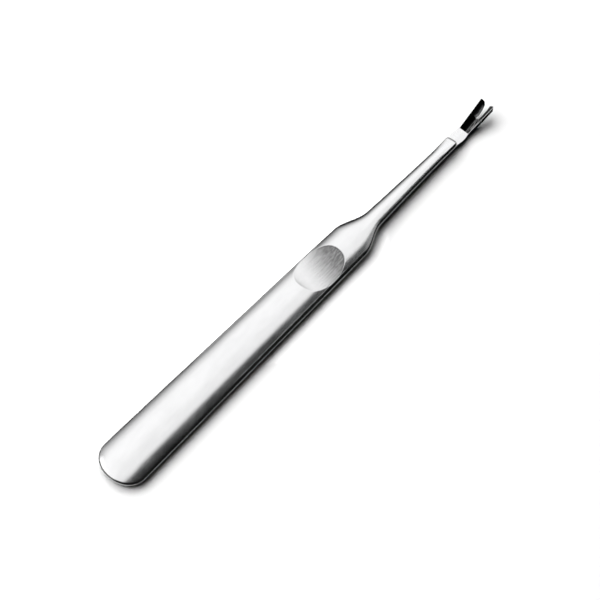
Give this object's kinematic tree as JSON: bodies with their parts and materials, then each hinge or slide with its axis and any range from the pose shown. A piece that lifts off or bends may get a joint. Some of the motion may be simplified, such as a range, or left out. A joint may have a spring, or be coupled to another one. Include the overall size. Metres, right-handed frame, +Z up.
{
  "type": "cuticle trimmer",
  "caption": "Slim hollow steel handle with a thumb scoop, drawn down to a neck that holds a forked, gouge-shaped blade.",
  "frame": {"origin": "on the surface that the tool lies on, below the middle of its length and width", "axes": "+X along the tool towards the fork, +Z up out of the side with the thumb scoop, +Y to the left of the tool seen from the butt"},
  "size_m": [0.1198, 0.0112, 0.004],
  "materials": {
    "satin_steel": "satin, finely brushed along the handle",
    "underside_steel": "satin, slightly duller than the top",
    "ground_weld": "weld bead ground flush with the rim",
    "blade_steel": "hardened, polished on the shank and ground in the fork",
    "silver_braze": "dull silver braze, hidden in the neck"
  },
  "bodies": {
    "root": {"top_shell": "satin_steel", "bottom_shell": "underside_steel", "rim_weld": "ground_weld", "fork_blade": "blade_steel", "tang_braze": "silver_braze"}
  },
  "joints": []
}
